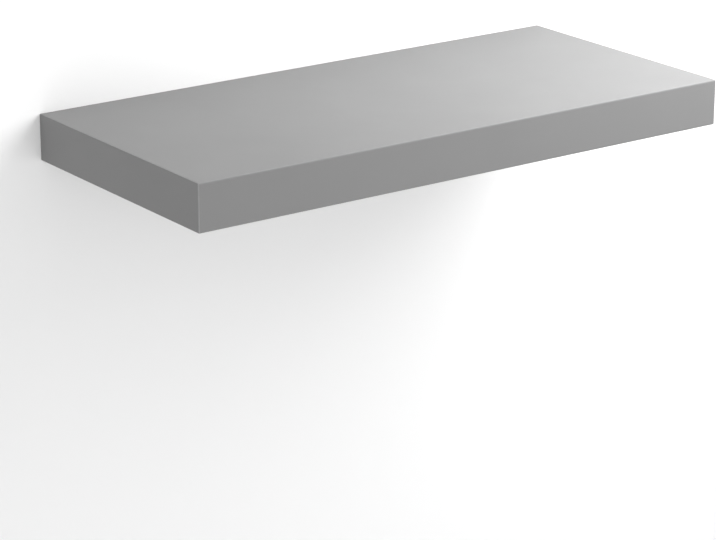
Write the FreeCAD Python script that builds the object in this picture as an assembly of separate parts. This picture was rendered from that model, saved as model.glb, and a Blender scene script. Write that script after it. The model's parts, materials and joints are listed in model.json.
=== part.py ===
import FreeCAD, Part
import math
import os

from FreeCAD import Vector

# Floating wall shelf: a hollow board on a frame of battens, filled with paper honeycomb and wrapped
# in grey foil, which slides over two steel rods on a hidden wall rail and is locked from below.
#
# Frame: +X runs along the wall, +Y points into the wall and +Z is up. The origin lies on the wall
# plane, at the middle of the rail. All sizes are in millimetres.

# Finished shelf, with its foil and edge bands
SHELF_LENGTH = 500.0
SHELF_DEPTH = 230.0
SHELF_THICKNESS = 38.0

# Skins: foil round the top, front and underside, a band on each end, and the two panels under them
FOIL_THICKNESS = 0.4
FOIL_BEND_RADIUS = 1.5
BAND_EDGE_TO_FOIL_BEND = 0.7
BAND_SQUARE_EDGE = 0.25
PANEL_THICKNESS = 3.0

# Frame of battens between the panels
FRONT_BATTEN_WIDTH = 30.0
END_BATTEN_WIDTH = 25.0
REAR_BATTEN_WIDTH = 22.0
ROD_RIB_WIDTH = 45.0

# Staples across the butt joints of the frame
STAPLE_CROWN = 10.0
STAPLE_LEG = 8.0
STAPLE_WIRE_WIDTH = 1.2
STAPLE_WIRE_THICKNESS = 0.7
STAPLE_FROM_EDGE = 6.0

# Paper honeycomb in the bays of the frame
CELL_ACROSS_FLATS = 30.0
CELL_WALL = 0.6
SMALLEST_CELL_WIDTH = 1.2
CORE_SIDE_GAP = 0.5

# Steel rods on the rail
ROD_DIAMETER = 12.0
ROD_FROM_SHELF_END = 110.0
ROD_TIP_FROM_SHELF_FRONT = 80.0
ROD_TIP_CHAMFER = 2.0
ROD_TENON_DIAMETER = 8.0
ROD_BORE_CLEARANCE = 0.25
ROD_BORE_END_GAP = 6.0
TENON_CLEARANCE = 0.05
WELD_LEG = 2.5

# Wall rail, which the recess at the back of the shelf hides
RAIL_THICKNESS = 4.0
RAIL_EDGE_GAP = 2.6
RAIL_END_GAP = 9.7
RAIL_CORNER_RADIUS = 3.0
RAIL_EDGE_BREAK = 0.4
RAIL_HEADROOM = 5.0
SCREW_HOLE_DIAMETER = 5.5
SCREW_HEAD_DIAMETER = 10.5
SCREW_FROM_RAIL_END = 20.0
SCREW_FROM_ROD = 45.0

# Lock screws under the rods, in threaded inserts
LOCK_FROM_WALL = 25.0
LOCK_SCREW_DIAMETER = 6.0
LOCK_SCREW_RECESS = 3.0
LOCK_SCREW_POINT_DIAMETER = 4.0
LOCK_SCREW_POINT_LENGTH = 1.0
LOCK_SCREW_CHAMFER = 0.6
LOCK_SCREW_TIP_GAP = 0.1
LOCK_THREAD_CLEARANCE = 0.15
HEX_SOCKET_ACROSS_FLATS = 3.0
HEX_SOCKET_DEPTH = 4.0
INSERT_WALL = 1.4
INSERT_FLANGE_OVERHANG = 2.0
INSERT_FLANGE_THICKNESS = 1.2
INSERT_RIM_CHAMFER = 0.2
INSERT_MOUTH_CHAMFER = 0.4
INSERT_TO_BORE_GAP = 2.5
INSERT_SEAT_CLEARANCE = 0.1

# Places that follow from the sizes above
HALF_LENGTH = SHELF_LENGTH / 2
HALF_THICKNESS = SHELF_THICKNESS / 2
FRONT_Y = -SHELF_DEPTH
BAND_EDGE_RADIUS = FOIL_BEND_RADIUS * BAND_EDGE_TO_FOIL_BEND
BAND_THICKNESS = BAND_EDGE_RADIUS + BAND_SQUARE_EDGE
BOARD_HALF_LENGTH = HALF_LENGTH - BAND_THICKNESS
BOARD_HALF_THICKNESS = HALF_THICKNESS - FOIL_THICKNESS
BOARD_FRONT_Y = FRONT_Y + FOIL_THICKNESS
BOARD_BEND_RADIUS = FOIL_BEND_RADIUS - FOIL_THICKNESS
CAVITY_HALF_HEIGHT = BOARD_HALF_THICKNESS - PANEL_THICKNESS
CAVITY_HEIGHT = 2 * CAVITY_HALF_HEIGHT

FRONT_BATTEN_BACK_Y = BOARD_FRONT_Y + FRONT_BATTEN_WIDTH
END_BATTEN_INNER_X = BOARD_HALF_LENGTH - END_BATTEN_WIDTH
REAR_BATTEN_BACK_Y = -(RAIL_THICKNESS + RAIL_HEADROOM)
REAR_BATTEN_FRONT_Y = REAR_BATTEN_BACK_Y - REAR_BATTEN_WIDTH

ROD_X = HALF_LENGTH - ROD_FROM_SHELF_END
RIB_INNER_X = ROD_X - ROD_RIB_WIDTH / 2
RIB_OUTER_X = ROD_X + ROD_RIB_WIDTH / 2
ROD_RADIUS = ROD_DIAMETER / 2
ROD_TIP_Y = FRONT_Y + ROD_TIP_FROM_SHELF_FRONT
ROD_BORE_RADIUS = ROD_RADIUS + ROD_BORE_CLEARANCE
ROD_BORE_END_Y = ROD_TIP_Y - ROD_BORE_END_GAP

RAIL_LENGTH = 2 * (END_BATTEN_INNER_X - RAIL_END_GAP)
RAIL_HEIGHT = CAVITY_HEIGHT - 2 * RAIL_EDGE_GAP
OUTER_SCREW_X = RAIL_LENGTH / 2 - SCREW_FROM_RAIL_END
INNER_SCREW_X = ROD_X - SCREW_FROM_ROD

LOCK_Y = -LOCK_FROM_WALL
LOCK_SCREW_TOP_Z = -(ROD_RADIUS + LOCK_SCREW_TIP_GAP)
LOCK_SCREW_BOTTOM_Z = -HALF_THICKNESS + LOCK_SCREW_RECESS
LOCK_SCREW_RADIUS = LOCK_SCREW_DIAMETER / 2
INSERT_BORE_RADIUS = LOCK_SCREW_RADIUS + LOCK_THREAD_CLEARANCE
INSERT_BODY_RADIUS = INSERT_BORE_RADIUS + INSERT_WALL
INSERT_FLANGE_RADIUS = INSERT_BODY_RADIUS + INSERT_FLANGE_OVERHANG
INSERT_BOTTOM_Z = -HALF_THICKNESS
INSERT_TOP_Z = -(ROD_BORE_RADIUS + INSERT_TO_BORE_GAP)

ALONG_X = Vector(1, 0, 0)
ALONG_Y = Vector(0, 1, 0)
UP = Vector(0, 0, 1)
LEFT, RIGHT = -1, 1
TOLERANCE = 1e-6


def block(x_low, x_high, y_low, y_high, z_low, z_high):
    """A square-edged block between two corners."""
    return Part.makeBox(x_high - x_low, y_high - y_low, z_high - z_low, Vector(x_low, y_low, z_low))


def batten(x_low, x_high, y_low, y_high):
    """A frame piece as tall as the cavity between the panels."""
    return block(x_low, x_high, y_low, y_high, -CAVITY_HALF_HEIGHT, CAVITY_HALF_HEIGHT)


def revolved(outline, origin, axis, across):
    """A solid of revolution from (radius, distance along the axis) points."""
    points = [origin + across * radius + axis * along for radius, along in outline]
    face = Part.Face(Part.makePolygon(points + points[:1]))
    return face.revolve(origin, axis, 360)


def mirrored(shape):
    """The same piece on the other side of the shelf's middle plane."""
    return shape.mirror(Vector(0, 0, 0), ALONG_X)


# Skins


def board_section(x, front_y, half_thickness, radius):
    """Edges of the board's section at x, from its rear underside round the front to its rear top."""
    bend = radius * (1 - math.sqrt(0.5))

    def at(y, z):
        return Vector(x, y, z)

    low, high = -half_thickness, half_thickness
    return [
        Part.makeLine(at(0, low), at(front_y + radius, low)),
        Part.Arc(
            at(front_y + radius, low), at(front_y + bend, low + bend), at(front_y, low + radius)
        ).toShape(),
        Part.makeLine(at(front_y, low + radius), at(front_y, high - radius)),
        Part.Arc(
            at(front_y, high - radius), at(front_y + bend, high - bend), at(front_y + radius, high)
        ).toShape(),
        Part.makeLine(at(front_y + radius, high), at(0, high)),
    ]


def closed_section(x, front_y, half_thickness, radius):
    """The face that the board's section and the wall plane enclose."""
    edges = board_section(x, front_y, half_thickness, radius)
    edges.append(Part.makeLine(Vector(x, 0, half_thickness), Vector(x, 0, -half_thickness)))
    return Part.Face(Part.Wire(edges))


def foil_and_board():
    """The wrapped board as two plain solids: all of it, and what lies under the foil."""
    run = ALONG_X * (2 * BOARD_HALF_LENGTH)
    start = -BOARD_HALF_LENGTH
    outside = closed_section(start, FRONT_Y, HALF_THICKNESS, FOIL_BEND_RADIUS).extrude(run)
    inside = closed_section(start, BOARD_FRONT_Y, BOARD_HALF_THICKNESS, BOARD_BEND_RADIUS).extrude(run)
    return outside, inside


def insert_seat():
    """The space of one threaded insert and the tip of its screw, up to the middle of the rod's bore."""
    clearance = INSERT_SEAT_CLEARANCE
    origin = Vector(ROD_X, LOCK_Y, 0)
    flange = INSERT_FLANGE_RADIUS + clearance
    body = INSERT_BODY_RADIUS + clearance
    shoulder_z = INSERT_BOTTOM_Z + INSERT_FLANGE_THICKNESS
    outline = [(0, INSERT_BOTTOM_Z), (flange, INSERT_BOTTOM_Z), (flange, shoulder_z)]
    outline += [(body, shoulder_z), (body, 0), (0, 0)]
    return revolved(outline, origin, UP, ALONG_X)


def decor_foil():
    outside, inside = foil_and_board()
    seat = insert_seat()
    return outside.cut(inside).cut([seat, mirrored(seat)])


def panel(z_low, z_high):
    """One of the two panels, with the front edge rounded for the foil."""
    inside = foil_and_board()[1]
    layer = block(-HALF_LENGTH, HALF_LENGTH, FRONT_Y, 0, z_low, z_high)
    return inside.common(layer)


def top_panel():
    return panel(CAVITY_HALF_HEIGHT, BOARD_HALF_THICKNESS)


def bottom_panel():
    seat = insert_seat()
    return panel(-BOARD_HALF_THICKNESS, -CAVITY_HALF_HEIGHT).cut([seat, mirrored(seat)])


def right_edge_band():
    section = closed_section(BOARD_HALF_LENGTH, FRONT_Y, HALF_THICKNESS, FOIL_BEND_RADIUS)
    band = section.extrude(ALONG_X * BAND_THICKNESS)
    rim = []
    for edge in band.Edges:
        on_outer_face = edge.BoundBox.XMin > HALF_LENGTH - TOLERANCE
        at_wall = edge.BoundBox.YMin > -TOLERANCE
        if on_outer_face and not at_wall:
            rim.append(edge)
    return band.makeFillet(BAND_EDGE_RADIUS, rim)


# Frame of battens


def staple(centre_x, centre_y, along):
    """One staple at the top of the frame, its crown flush with the battens and crossing a joint."""
    across = UP.cross(along)
    half_crown = STAPLE_CROWN / 2
    half_width = STAPLE_WIRE_WIDTH / 2
    bend = STAPLE_WIRE_THICKNESS
    top = Vector(centre_x, centre_y, CAVITY_HALF_HEIGHT)
    outline = [
        (-half_crown, 0),
        (half_crown, 0),
        (half_crown, -STAPLE_LEG),
        (half_crown - bend, -STAPLE_LEG),
        (half_crown - bend, -bend),
        (bend - half_crown, -bend),
        (bend - half_crown, -STAPLE_LEG),
        (-half_crown, -STAPLE_LEG),
    ]
    points = [top + along * u + UP * w - across * half_width for u, w in outline]
    face = Part.Face(Part.makePolygon(points + points[:1]))
    return face.extrude(across * STAPLE_WIRE_WIDTH)


def staples():
    """Two staples at each butt joint: end battens and ribs to the front batten and the rear ones."""
    inset = STAPLE_FROM_EDGE
    end_rows = [END_BATTEN_INNER_X + inset, BOARD_HALF_LENGTH - inset]
    rib_rows = [RIB_INNER_X + inset, RIB_OUTER_X - inset]
    rear_rows = [REAR_BATTEN_FRONT_Y + inset, REAR_BATTEN_BACK_Y - inset]
    placed = []
    for side in (LEFT, RIGHT):
        for x in end_rows + rib_rows:
            placed.append(staple(side * x, FRONT_BATTEN_BACK_Y, ALONG_Y))
        for x in (END_BATTEN_INNER_X, RIB_OUTER_X, RIB_INNER_X):
            for y in rear_rows:
                placed.append(staple(side * x, y, ALONG_X))
    return placed


STAPLES = staples()


def rod_bore():
    """The blind bore that takes the right rod, from the wall plane to just past the rod's tip."""
    return Part.makeCylinder(ROD_BORE_RADIUS, -ROD_BORE_END_Y, Vector(ROD_X, 0, 0), -ALONG_Y)


def front_batten():
    return batten(-BOARD_HALF_LENGTH, BOARD_HALF_LENGTH, BOARD_FRONT_Y, FRONT_BATTEN_BACK_Y).cut(STAPLES)


def right_end_batten():
    return batten(END_BATTEN_INNER_X, BOARD_HALF_LENGTH, FRONT_BATTEN_BACK_Y, 0).cut(STAPLES)


def rear_batten(x_low, x_high):
    """One length of the rear edge, set back from the wall by the recess for the rail."""
    return batten(x_low, x_high, REAR_BATTEN_FRONT_Y, REAR_BATTEN_BACK_Y).cut(STAPLES)


def centre_rear_batten():
    return rear_batten(-RIB_INNER_X, RIB_INNER_X)


def right_rear_batten():
    return rear_batten(RIB_OUTER_X, END_BATTEN_INNER_X)


def right_rod_rib():
    """The solid rib that carries the right rod and its lock, from the recess to the front batten."""
    rib = batten(RIB_INNER_X, RIB_OUTER_X, FRONT_BATTEN_BACK_Y, REAR_BATTEN_BACK_Y)
    return rib.cut([rod_bore(), insert_seat()] + STAPLES)


# Honeycomb


def clipped(points, keep_above, axis, limit):
    """A convex outline cut back to one side of a line at right angles to X (axis 0) or Y (axis 1)."""
    kept = []
    for here, after in zip(points, points[1:] + points[:1]):
        inside_here = (here[axis] - limit) * keep_above > 0
        inside_after = (after[axis] - limit) * keep_above > 0
        if inside_here:
            kept.append(here)
        if inside_here != inside_after:
            share = (limit - here[axis]) / (after[axis] - here[axis])
            kept.append(tuple(a + share * (b - a) for a, b in zip(here, after)))
    return kept


def cell_outline(centre_x, centre_y, low, high):
    """One hexagonal cell, cut off at the bay's edges; empty where too little of it is left."""
    corner_radius = (CELL_ACROSS_FLATS - CELL_WALL) / math.sqrt(3)
    points = []
    for corner in range(6):
        angle = math.radians(60 * corner + 30)
        points.append(
            (centre_x + corner_radius * math.cos(angle), centre_y + corner_radius * math.sin(angle))
        )
    for axis in (0, 1):
        points = clipped(points, 1, axis, low[axis])
        points = clipped(points, -1, axis, high[axis])
    for axis in (0, 1):
        along = [point[axis] for point in points]
        if not along or max(along) - min(along) < SMALLEST_CELL_WIDTH:
            return []
    return points


def honeycomb(x_low, x_high):
    """Expanded paper honeycomb that fills one bay, glued between the panels."""
    x_low, x_high = x_low + CORE_SIDE_GAP, x_high - CORE_SIDE_GAP
    y_low, y_high = FRONT_BATTEN_BACK_Y + CORE_SIDE_GAP, REAR_BATTEN_FRONT_Y - CORE_SIDE_GAP
    low = (x_low + CELL_WALL, y_low + CELL_WALL)
    high = (x_high - CELL_WALL, y_high - CELL_WALL)
    middle = ((x_low + x_high) / 2, (y_low + y_high) / 2)
    row_pitch = CELL_ACROSS_FLATS * math.sqrt(3) / 2
    half_columns = math.ceil((x_high - x_low) / CELL_ACROSS_FLATS / 2) + 1
    half_rows = math.ceil((y_high - y_low) / row_pitch / 2) + 1

    def wire(outline):
        points = [Vector(x, y, -CAVITY_HALF_HEIGHT) for x, y in outline]
        return Part.makePolygon(points + points[:1])

    cells = []
    for row in range(-half_rows, half_rows + 1):
        shift = CELL_ACROSS_FLATS / 2 * (row % 2)
        for column in range(-half_columns, half_columns + 1):
            x = middle[0] + column * CELL_ACROSS_FLATS + shift
            outline = cell_outline(x, middle[1] + row * row_pitch, low, high)
            if outline:
                cells.append(wire(outline))
    border = wire([(x_low, y_low), (x_high, y_low), (x_high, y_high), (x_low, y_high)])
    sheet = Part.Face([border] + cells)
    sheet.validate()
    return sheet.extrude(UP * CAVITY_HEIGHT)


def centre_honeycomb():
    return honeycomb(-RIB_INNER_X, RIB_INNER_X)


def right_honeycomb():
    return honeycomb(RIB_OUTER_X, END_BATTEN_INNER_X)


# Wall bracket


def screw_hole(x):
    """A countersunk hole through the rail; the screw's head lies flush with the rail's front."""
    shank, head = SCREW_HOLE_DIAMETER / 2, SCREW_HEAD_DIAMETER / 2
    sink = head - shank
    outline = [(0, 0), (shank, 0), (shank, RAIL_THICKNESS - sink), (head, RAIL_THICKNESS)]
    outline.append((0, RAIL_THICKNESS))
    return revolved(outline, Vector(x, 0, 0), -ALONG_Y, ALONG_X)


def wall_rail():
    half_length, half_height = RAIL_LENGTH / 2, RAIL_HEIGHT / 2
    bar = block(-half_length, half_length, -RAIL_THICKNESS, 0, -half_height, half_height)
    corners = [edge for edge in bar.Edges if edge.BoundBox.YLength > RAIL_THICKNESS / 2]
    bar = bar.makeFillet(RAIL_CORNER_RADIUS, corners)
    rim = [edge for edge in bar.Edges if edge.BoundBox.YLength < RAIL_THICKNESS / 2]
    bar = bar.makeChamfer(RAIL_EDGE_BREAK, rim)
    holes = []
    for side in (LEFT, RIGHT):
        holes += [screw_hole(side * OUTER_SCREW_X), screw_hole(side * INNER_SCREW_X)]
        tenon_radius = ROD_TENON_DIAMETER / 2 + TENON_CLEARANCE
        holes.append(
            Part.makeCylinder(tenon_radius, RAIL_THICKNESS, Vector(side * ROD_X, 0, 0), -ALONG_Y)
        )
    return bar.cut(holes)


def right_support_rod():
    """A rod whose tenon goes through the rail and ends flush with the rail's back."""
    tenon, reach = ROD_TENON_DIAMETER / 2, -ROD_TIP_Y
    outline = [(0, 0), (tenon, 0), (tenon, RAIL_THICKNESS), (ROD_RADIUS, RAIL_THICKNESS)]
    outline += [(ROD_RADIUS, reach - ROD_TIP_CHAMFER), (ROD_RADIUS - ROD_TIP_CHAMFER, reach), (0, reach)]
    return revolved(outline, Vector(ROD_X, 0, 0), -ALONG_Y, ALONG_X)


def rod_welds():
    """The fillet welds round the foot of each rod, on the front of the rail."""
    outline = [
        (ROD_RADIUS, RAIL_THICKNESS),
        (ROD_RADIUS + WELD_LEG, RAIL_THICKNESS),
        (ROD_RADIUS, RAIL_THICKNESS + WELD_LEG),
    ]
    ring = revolved(outline, Vector(ROD_X, 0, 0), -ALONG_Y, ALONG_X)
    return Part.makeCompound([mirrored(ring), ring])


# Lock


def right_lock_insert():
    """A flanged threaded insert, flush with the underside of the shelf."""
    shoulder_z = INSERT_BOTTOM_Z + INSERT_FLANGE_THICKNESS
    outline = [
        (INSERT_BORE_RADIUS + INSERT_MOUTH_CHAMFER, INSERT_BOTTOM_Z),
        (INSERT_FLANGE_RADIUS - INSERT_RIM_CHAMFER, INSERT_BOTTOM_Z),
        (INSERT_FLANGE_RADIUS, INSERT_BOTTOM_Z + INSERT_RIM_CHAMFER),
        (INSERT_FLANGE_RADIUS, shoulder_z),
        (INSERT_BODY_RADIUS, shoulder_z),
        (INSERT_BODY_RADIUS, INSERT_TOP_Z),
        (INSERT_BORE_RADIUS, INSERT_TOP_Z),
        (INSERT_BORE_RADIUS, INSERT_BOTTOM_Z + INSERT_MOUTH_CHAMFER),
    ]
    return revolved(outline, Vector(ROD_X, LOCK_Y, 0), UP, ALONG_X)


def right_lock_screw():
    """A set screw with a dog point that presses on the rod from below, and a hexagon socket."""
    axis = Vector(ROD_X, LOCK_Y, 0)
    point = LOCK_SCREW_POINT_DIAMETER / 2
    chamfer = LOCK_SCREW_CHAMFER
    neck_z = LOCK_SCREW_TOP_Z - LOCK_SCREW_POINT_LENGTH
    outline = [
        (0, LOCK_SCREW_BOTTOM_Z),
        (LOCK_SCREW_RADIUS - chamfer, LOCK_SCREW_BOTTOM_Z),
        (LOCK_SCREW_RADIUS, LOCK_SCREW_BOTTOM_Z + chamfer),
        (LOCK_SCREW_RADIUS, neck_z - chamfer),
        (point, neck_z),
        (point, LOCK_SCREW_TOP_Z),
        (0, LOCK_SCREW_TOP_Z),
    ]
    screw = revolved(outline, axis, UP, ALONG_X)
    corner_radius = HEX_SOCKET_ACROSS_FLATS / math.sqrt(3)
    corners = []
    for corner in range(7):
        angle = math.radians(60 * corner)
        spoke = Vector(math.cos(angle), math.sin(angle), 0) * corner_radius
        corners.append(axis + spoke + UP * LOCK_SCREW_BOTTOM_Z)
    socket = Part.Face(Part.makePolygon(corners)).extrude(UP * HEX_SOCKET_DEPTH)
    return screw.cut(socket)


# Each piece on its own, then the pairs that mirror each other
NODES = {
    "decor_foil": decor_foil(),
    "top_panel": top_panel(),
    "bottom_panel": bottom_panel(),
    "front_batten": front_batten(),
    "centre_rear_batten": centre_rear_batten(),
    "frame_staples": Part.makeCompound(STAPLES),
    "centre_honeycomb": centre_honeycomb(),
    "wall_rail": wall_rail(),
    "rod_welds": rod_welds(),
}
PAIRS = {
    "edge_band": right_edge_band(),
    "end_batten": right_end_batten(),
    "rear_batten": right_rear_batten(),
    "rod_rib": right_rod_rib(),
    "honeycomb": right_honeycomb(),
    "support_rod": right_support_rod(),
    "lock_insert": right_lock_insert(),
    "lock_screw": right_lock_screw(),
}
for name, shape in PAIRS.items():
    NODES["right_" + name] = shape
    NODES["left_" + name] = mirrored(shape)

os.makedirs("parts", exist_ok=True)
for name, shape in NODES.items():
    shape.exportStep(f"parts/{name}.step")
    volume = sum(solid.Volume for solid in shape.Solids)
    print(f"{name}: {len(shape.Solids)} solid(s), {volume:.1f} mm3, valid {shape.isValid()}")
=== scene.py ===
# %% [markdown]
# Floating wall shelf.
# A grey board stands out from a wall with no bracket in sight. Inside it is a frame of battens with paper
# honeycomb, and a steel rail with two rods carries it from within. The construction comes from CAD as a fixed
# frame. This lesson gives every piece its finish, models the foil, the end bands and the small turned and
# welded pieces anew, and lights the shelf as a studio would.

# %% Load the frame
import json
import math

import bmesh
import bpy
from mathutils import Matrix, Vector


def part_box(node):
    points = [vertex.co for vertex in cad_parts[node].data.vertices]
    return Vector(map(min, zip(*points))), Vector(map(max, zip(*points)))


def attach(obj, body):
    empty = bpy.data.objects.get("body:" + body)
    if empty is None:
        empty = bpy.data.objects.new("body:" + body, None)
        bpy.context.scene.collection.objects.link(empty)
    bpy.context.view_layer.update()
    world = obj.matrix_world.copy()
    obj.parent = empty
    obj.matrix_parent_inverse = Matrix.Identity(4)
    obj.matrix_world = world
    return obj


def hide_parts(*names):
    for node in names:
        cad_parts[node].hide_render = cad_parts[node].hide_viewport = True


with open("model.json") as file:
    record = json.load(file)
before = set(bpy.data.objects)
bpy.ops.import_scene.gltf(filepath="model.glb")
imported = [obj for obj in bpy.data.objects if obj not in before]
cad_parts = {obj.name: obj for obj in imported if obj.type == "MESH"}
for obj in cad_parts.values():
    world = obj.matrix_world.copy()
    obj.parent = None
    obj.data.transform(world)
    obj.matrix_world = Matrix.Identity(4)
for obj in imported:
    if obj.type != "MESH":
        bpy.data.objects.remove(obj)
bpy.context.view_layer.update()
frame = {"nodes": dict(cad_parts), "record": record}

MM = 0.001
nodes = frame["nodes"]
slot_of = {part["node"]: part["material_slot"] for part in frame["record"]["subparts"]}

# %% [markdown]
# Colours and nodes.
# A colour picked on a screen is an sRGB hex value, but a shader works with linear light, so one function
# turns the first into the second. A second function adds a node, sets it and links it in one call, which
# keeps each finish below as short as its description. Patterns are given their real size in millimetres.
# Every finish ends alike: with a colour, a roughness that follows one pattern and a relief that follows
# another, so those last steps are a function too.


# %% Helpers for finishes
def linear(hex_colour):
    """An sRGB hex value as the linear colour that a shader takes."""
    channels = [int(hex_colour[i : i + 2], 16) / 255 for i in (1, 3, 5)]
    return [c / 12.92 if c <= 0.04045 else ((c + 0.055) / 1.055) ** 2.4 for c in channels] + [1.0]


def per_metre(size_mm):
    """The texture scale that gives features of about this size."""
    return 1 / (size_mm * MM)


def add_node(tree, kind, inputs=None, **settings):
    """Adds a node with its settings. Each input takes a value, or the output of another node."""
    node = tree.nodes.new(kind)
    for name, value in settings.items():
        setattr(node, name, value)
    for name, value in (inputs or {}).items():
        if isinstance(value, bpy.types.NodeSocket):
            tree.links.new(value, node.inputs[name])
        else:
            node.inputs[name].default_value = value
    return node


def new_finish(name, **values):
    """A material with its principled shader, the values set on that shader, and its object coordinates."""
    material = bpy.data.materials.new(name)
    material.use_nodes = True
    tree = material.node_tree
    shader = tree.nodes["Principled BSDF"]
    for socket, value in values.items():
        shader.inputs[socket.replace("_", " ")].default_value = value
    place = add_node(tree, "ShaderNodeTexCoord").outputs["Object"]
    return material, tree, shader, place


def end_finish(tree, shader, colour, gloss, roughness, relief, depth_mm):
    """Puts a colour on a shader, a roughness that runs between two values with gloss, and a relief."""
    at_zero, at_one = roughness
    rough = add_node(tree, "ShaderNodeMapRange", {"Value": gloss, "To Min": at_zero, "To Max": at_one})
    bump = add_node(
        tree, "ShaderNodeBump", {"Height": relief, "Distance": depth_mm * MM, "Strength": 1.0}
    )
    tree.links.new(colour, shader.inputs["Base Color"])
    tree.links.new(rough.outputs["Result"], shader.inputs["Roughness"])
    tree.links.new(bump.outputs["Normal"], shader.inputs["Normal"])


finishes = {}
print("helpers ready")

# %% [markdown]
# Painted highlight and wear on the foil.
# Upright corners and the upper lip of each bend are painted lighter: a painted highlight, like the light line
# that these edges catch, with some rubbed wear. A picture of a worn board would tie it to one size, so the
# shader finds such spots by the way the surface faces. On a corner it faces two sides at once, and on a lip
# it is just leaving the flat. A noise then makes some stretches lighter than others.

# %% Painted edge highlight and wear
# the lighter corners and bend lips are a painted highlight with some wear
FOIL_HIGHLIGHT_PATCH_MM = 14
CORNER_FACING = (0.08, 0.45)  # the smaller sideways part of the normal, from no painted highlight to full
LIP_START = (0.999, 0.98)  # the upward part of the normal where the painted highlight of a lip sets in
LIP_END = (0.6, 0.85)  # and where it has ended, further round the bend
LIP_HIGHLIGHT_SHARE = 0.5  # of the painted highlight on a corner
PATCH_NOISE = (0.3, 0.6)
PATCH_HIGHLIGHT_SHARE = (0.6, 1.0)


def painted_edge_highlight_and_wear(tree, place):
    """How light a spot is painted, a highlight with some wear: most on upright corners, less on the lip of a
    bend, not on flat faces.
    """
    facing = add_node(tree, "ShaderNodeNewGeometry").outputs["Normal"]
    up = add_node(tree, "ShaderNodeSeparateXYZ", {"Vector": facing}).outputs["Z"]
    sides = add_node(tree, "ShaderNodeVectorMath", {0: facing}, operation="ABSOLUTE").outputs["Vector"]
    share = add_node(tree, "ShaderNodeSeparateXYZ", {"Vector": sides}).outputs
    corner = add_node(tree, "ShaderNodeMath", {0: share["X"], 1: share["Y"]}, operation="MINIMUM")
    patches = add_node(tree, "ShaderNodeTexNoise", {"Vector": place, "Scale": per_metre(FOIL_HIGHLIGHT_PATCH_MM)})
    amounts = []
    for value, (start, end), (least, most) in (
        (corner.outputs["Value"], CORNER_FACING, (0.0, 1.0)),
        (up, LIP_START, (0.0, 1.0)),
        (up, LIP_END, (0.0, LIP_HIGHLIGHT_SHARE)),
        (patches.outputs["Fac"], PATCH_NOISE, PATCH_HIGHLIGHT_SHARE),
    ):
        amount = add_node(
            tree,
            "ShaderNodeMapRange",
            {"Value": value, "From Min": start, "From Max": end, "To Min": least, "To Max": most},
        )
        amounts.append(amount.outputs["Result"])
    corner_highlight, leaving_flat, still_upper, patch_highlight = amounts
    lip = add_node(tree, "ShaderNodeMath", {0: leaving_flat, 1: still_upper}, operation="MULTIPLY")
    both = add_node(tree, "ShaderNodeMath", {0: corner_highlight, 1: lip.outputs["Value"]}, operation="MAXIMUM")
    highlight_share = add_node(tree, "ShaderNodeMath", {0: both.outputs["Value"], 1: patch_highlight}, operation="MULTIPLY")
    return highlight_share.outputs["Value"]


print("edge wear ready")

# %% [markdown]
# Grey decor foil.
# The skin is a plain grey printed foil with a satin lacquer, calendered onto the board. Up close it has a
# very fine emboss that breaks reflections up, and its gloss and grey drift a little from place to place. The
# bands on the two ends are printed to match the foil, with a slightly coarser emboss, so one function makes
# both.

# %% Foil and edge band
FOIL_GREY = "#838383"
FOIL_GREY_DEEP = "#808080"
# lighter grey painted on corners and bend lips as a highlight, with some wear
FOIL_HIGHLIGHT_AND_RUBBED = "#9F9F9F"
FOIL_SPECULAR = 0.05  # the lacquer hardly mirrors what stands right before it
FOIL_ROUGHNESS = (0.36, 0.44)
FOIL_DRIFT_MM = 60
FOIL_EMBOSS_MM = 0.9  # about 0.15 on the real foil, drawn coarser so that it shows
BAND_EMBOSS_MM = 1.1
FOIL_EMBOSS_DEPTH_MM = 0.004


def foil_finish(name, emboss_mm):
    """Satin printed foil: even grey, soft reflections, fine emboss, a painted highlight with some wear on
    corners and bend lips.
    """
    material, tree, shader, place = new_finish(name, IOR=1.5, Specular_IOR_Level=FOIL_SPECULAR)
    drift = add_node(
        tree, "ShaderNodeTexNoise", {"Vector": place, "Scale": per_metre(FOIL_DRIFT_MM), "Detail": 3.0}
    )
    grey = add_node(
        tree,
        "ShaderNodeMixRGB",
        {"Fac": drift.outputs["Fac"], "Color1": linear(FOIL_GREY), "Color2": linear(FOIL_GREY_DEEP)},
    )
    # corners and bend lips get the painted highlight, with some wear
    colour = add_node(
        tree,
        "ShaderNodeMixRGB",
        {"Fac": painted_edge_highlight_and_wear(tree, place), "Color1": grey.outputs["Color"], "Color2": linear(FOIL_HIGHLIGHT_AND_RUBBED)},
    )
    emboss = add_node(
        tree, "ShaderNodeTexNoise", {"Vector": place, "Scale": per_metre(emboss_mm), "Detail": 2.0}
    )
    end_finish(
        tree,
        shader,
        colour.outputs["Color"],
        gloss=drift.outputs["Fac"],
        roughness=FOIL_ROUGHNESS,
        relief=emboss.outputs["Fac"],
        depth_mm=FOIL_EMBOSS_DEPTH_MM,
    )
    return material


finishes["grey_foil"] = foil_finish("satin_grey_decor_foil", FOIL_EMBOSS_MM)
edge_band_finish = foil_finish("satin_grey_edge_band", BAND_EMBOSS_MM)
print(finishes["grey_foil"].name, edge_band_finish.name)

# %% [markdown]
# Hardboard skins.
# The two thin panels under the foil are hardboard: wood fibre pressed hot into a hard brown sheet. The fibres
# lie flat, so a sawn edge shows fine dark and light lines along the sheet. One noise squeezed across the
# sheet gives both faces and edges, with no picture of wood needed.

# %% Hardboard
HARDBOARD_BROWN = "#A98259"
HARDBOARD_DARK = "#7A5A3C"
HARDBOARD_FIBRE_MM = (3.0, 3.0, 0.25)
HARDBOARD_FIBRE_DEPTH_MM = 0.03
HARDBOARD_ROUGHNESS = (0.85, 0.65)

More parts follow.
